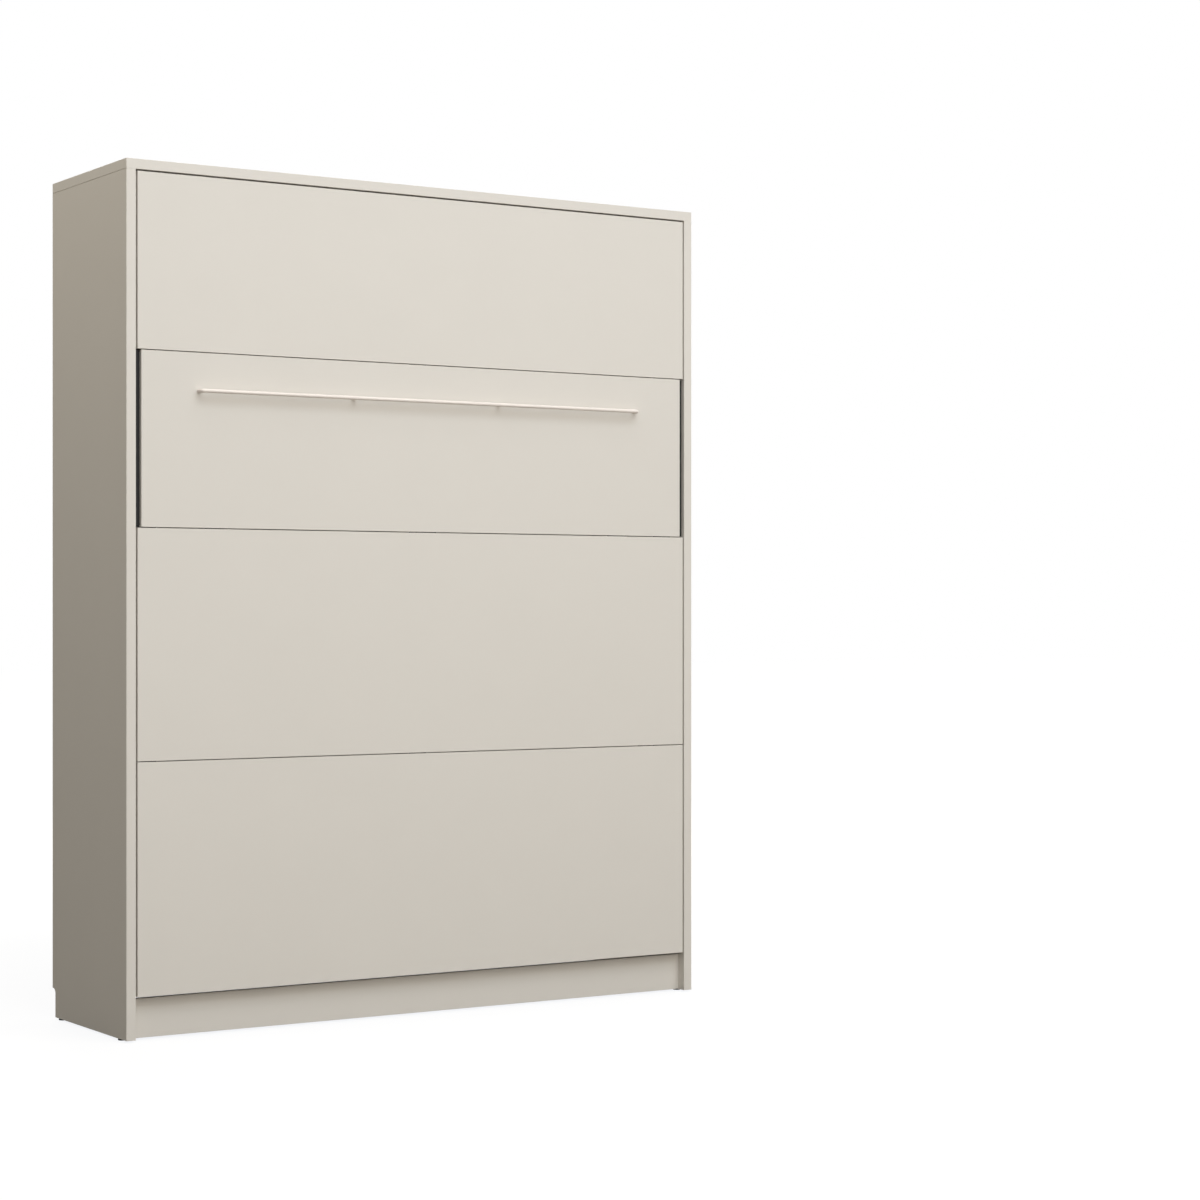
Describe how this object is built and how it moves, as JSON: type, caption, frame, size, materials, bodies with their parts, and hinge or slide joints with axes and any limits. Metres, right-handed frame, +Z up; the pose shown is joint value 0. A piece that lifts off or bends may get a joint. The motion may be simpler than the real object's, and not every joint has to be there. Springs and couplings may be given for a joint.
{
  "type": "wall bed",
  "caption": "Upright wall bed in a flat cabinet: plain front panels with a long bar handle fold down as a slatted bed on a panel that swings out as its leg.",
  "frame": {"origin": "bottom centre of the bounding box, on the floor", "axes": "+X to the right seen from the front, +Y to the wall, +Z up"},
  "size_m": [1.69, 0.515, 2.18],
  "materials": {
    "cashmere_board": "satin melamine-faced board, warm grey-beige",
    "back_hardboard": "painted hardboard",
    "grey_plastic": "matt",
    "black_plastic": "matt",
    "rubber": "soft matt",
    "zinc_steel": "zinc-plated",
    "beech": "clear-lacquered layered beech",
    "black_steel": "fine black powder coat",
    "nylon": "natural nylon",
    "handle_metal": "satin, warm light metal",
    "bright_rod": "polished rod"
  },
  "bodies": {
    "cabinet": {"side_panel_left": "cashmere_board", "side_panel_right": "cashmere_board", "top_panel": "cashmere_board", "plinth_panel": "cashmere_board", "plinth_blocks": "black_plastic", "back_sheet_lower": "back_hardboard", "back_sheet_middle": "back_hardboard", "back_sheet_upper": "back_hardboard", "back_joiner_strips": "grey_plastic", "rear_upper_rail": "cashmere_board", "rear_lower_rail": "cashmere_board", "floor_glides": "black_plastic", "cam_locks": "zinc_steel", "cam_bolts": "zinc_steel", "wood_dowels": "beech", "cabinet_pivot_plates": "black_steel", "hardware_screws": "zinc_steel", "bed_pivot_pins": "zinc_steel", "link_studs": "zinc_steel", "gas_anchors": "black_steel", "closing_stop_brackets": "black_steel", "closing_stop_pads": "rubber"},
    "bed": {"front_panel_lower": "cashmere_board", "front_panel_middle": "cashmere_board", "front_panel_upper": "cashmere_board", "front_spacers": "black_plastic", "front_brackets": "black_steel", "bracket_screws": "zinc_steel", "frame_stile_left": "black_steel", "frame_stile_right": "black_steel", "stile_end_caps": "black_plastic", "frame_cross_tubes": "black_steel", "centre_rail": "black_steel", "slats_left": "beech", "slats_right": "beech", "slat_holders_outer": "grey_plastic", "slat_holders_centre": "grey_plastic", "bed_pivot_plates": "black_steel", "pivot_bushes": "nylon", "frame_bolts": "zinc_steel", "head_end_board": "cashmere_board", "head_end_angles": "black_steel", "foot_end_hoops": "black_steel", "side_hoops": "black_steel", "leg_lugs": "black_steel"},
    "support_leg": {"leg_panel": "cashmere_board", "leg_side_bars": "black_steel", "leg_bar_screws": "zinc_steel", "leg_pins": "zinc_steel", "leg_floor_pads": "black_plastic", "handle_bar": "handle_metal", "handle_posts": "handle_metal", "handle_screws": "zinc_steel"},
    "leg_link_left": {"leg_link_left": "black_steel"},
    "gas_cylinder_left": {"gas_cylinder_left": "black_steel"},
    "gas_rod_left": {"gas_rod_left": "bright_rod"},
    "leg_link_right": {"leg_link_right": "black_steel"},
    "gas_cylinder_right": {"gas_cylinder_right": "black_steel"},
    "gas_rod_right": {"gas_rod_right": "bright_rod"}
  },
  "joints": [
    {"name": "bed_fold", "type": "hinge", "parent": "cabinet", "child": "bed", "pos_m": [0, -0.1725, 0.4825], "axis": [1, 0, 0], "range_deg": [0, 90], "stiffness_Nm_per_rad": 240, "springref_deg": -29.79},
    {"name": "leg_fold", "type": "hinge", "parent": "bed", "child": "support_leg", "pos_m": [0, -0.2255, 1.69936], "axis": [1, 0, 0], "range_deg": [-90, 0]},
    {"name": "leg_link_swing_left", "type": "hinge", "parent": "cabinet", "child": "leg_link_left", "pos_m": [-0.8105, -0.1325, 0.5085], "axis": [1, 0, 0], "range_deg": [0, 90]},
    {"name": "gas_tilt_left", "type": "hinge", "parent": "cabinet", "child": "gas_cylinder_left", "pos_m": [-0.804, 0.0425, 0.9725], "axis": [1, 0, 0], "range_deg": [0, 20.29]},
    {"name": "gas_stroke_left", "type": "slide", "parent": "gas_cylinder_left", "child": "gas_rod_left", "axis": [0, -0.279, -0.9603], "range_m": [-0.27935, 0]},
    {"name": "leg_link_swing_right", "type": "hinge", "parent": "cabinet", "child": "leg_link_right", "pos_m": [0.8105, -0.1325, 0.5085], "axis": [1, 0, 0], "range_deg": [0, 90]},
    {"name": "gas_tilt_right", "type": "hinge", "parent": "cabinet", "child": "gas_cylinder_right", "pos_m": [0.804, 0.0425, 0.9725], "axis": [1, 0, 0], "range_deg": [0, 20.29]},
    {"name": "gas_stroke_right", "type": "slide", "parent": "gas_cylinder_right", "child": "gas_rod_right", "axis": [0, -0.279, -0.9603], "range_m": [-0.27935, 0]}
  ],
  "couplings": [
    {"joint": "leg_fold", "follows": "bed_fold", "ratio": -1},
    {"joint": "leg_link_swing_left", "follows": "bed_fold", "ratio": 1},
    {"joint": "gas_tilt_left", "follows": "bed_fold", "ratio": 0.2254},
    {"joint": "gas_stroke_left", "follows": "bed_fold", "m_per_rad": -0.17784},
    {"joint": "leg_link_swing_right", "follows": "bed_fold", "ratio": 1},
    {"joint": "gas_tilt_right", "follows": "bed_fold", "ratio": 0.2254},
    {"joint": "gas_stroke_right", "follows": "bed_fold", "m_per_rad": -0.17784}
  ]
}
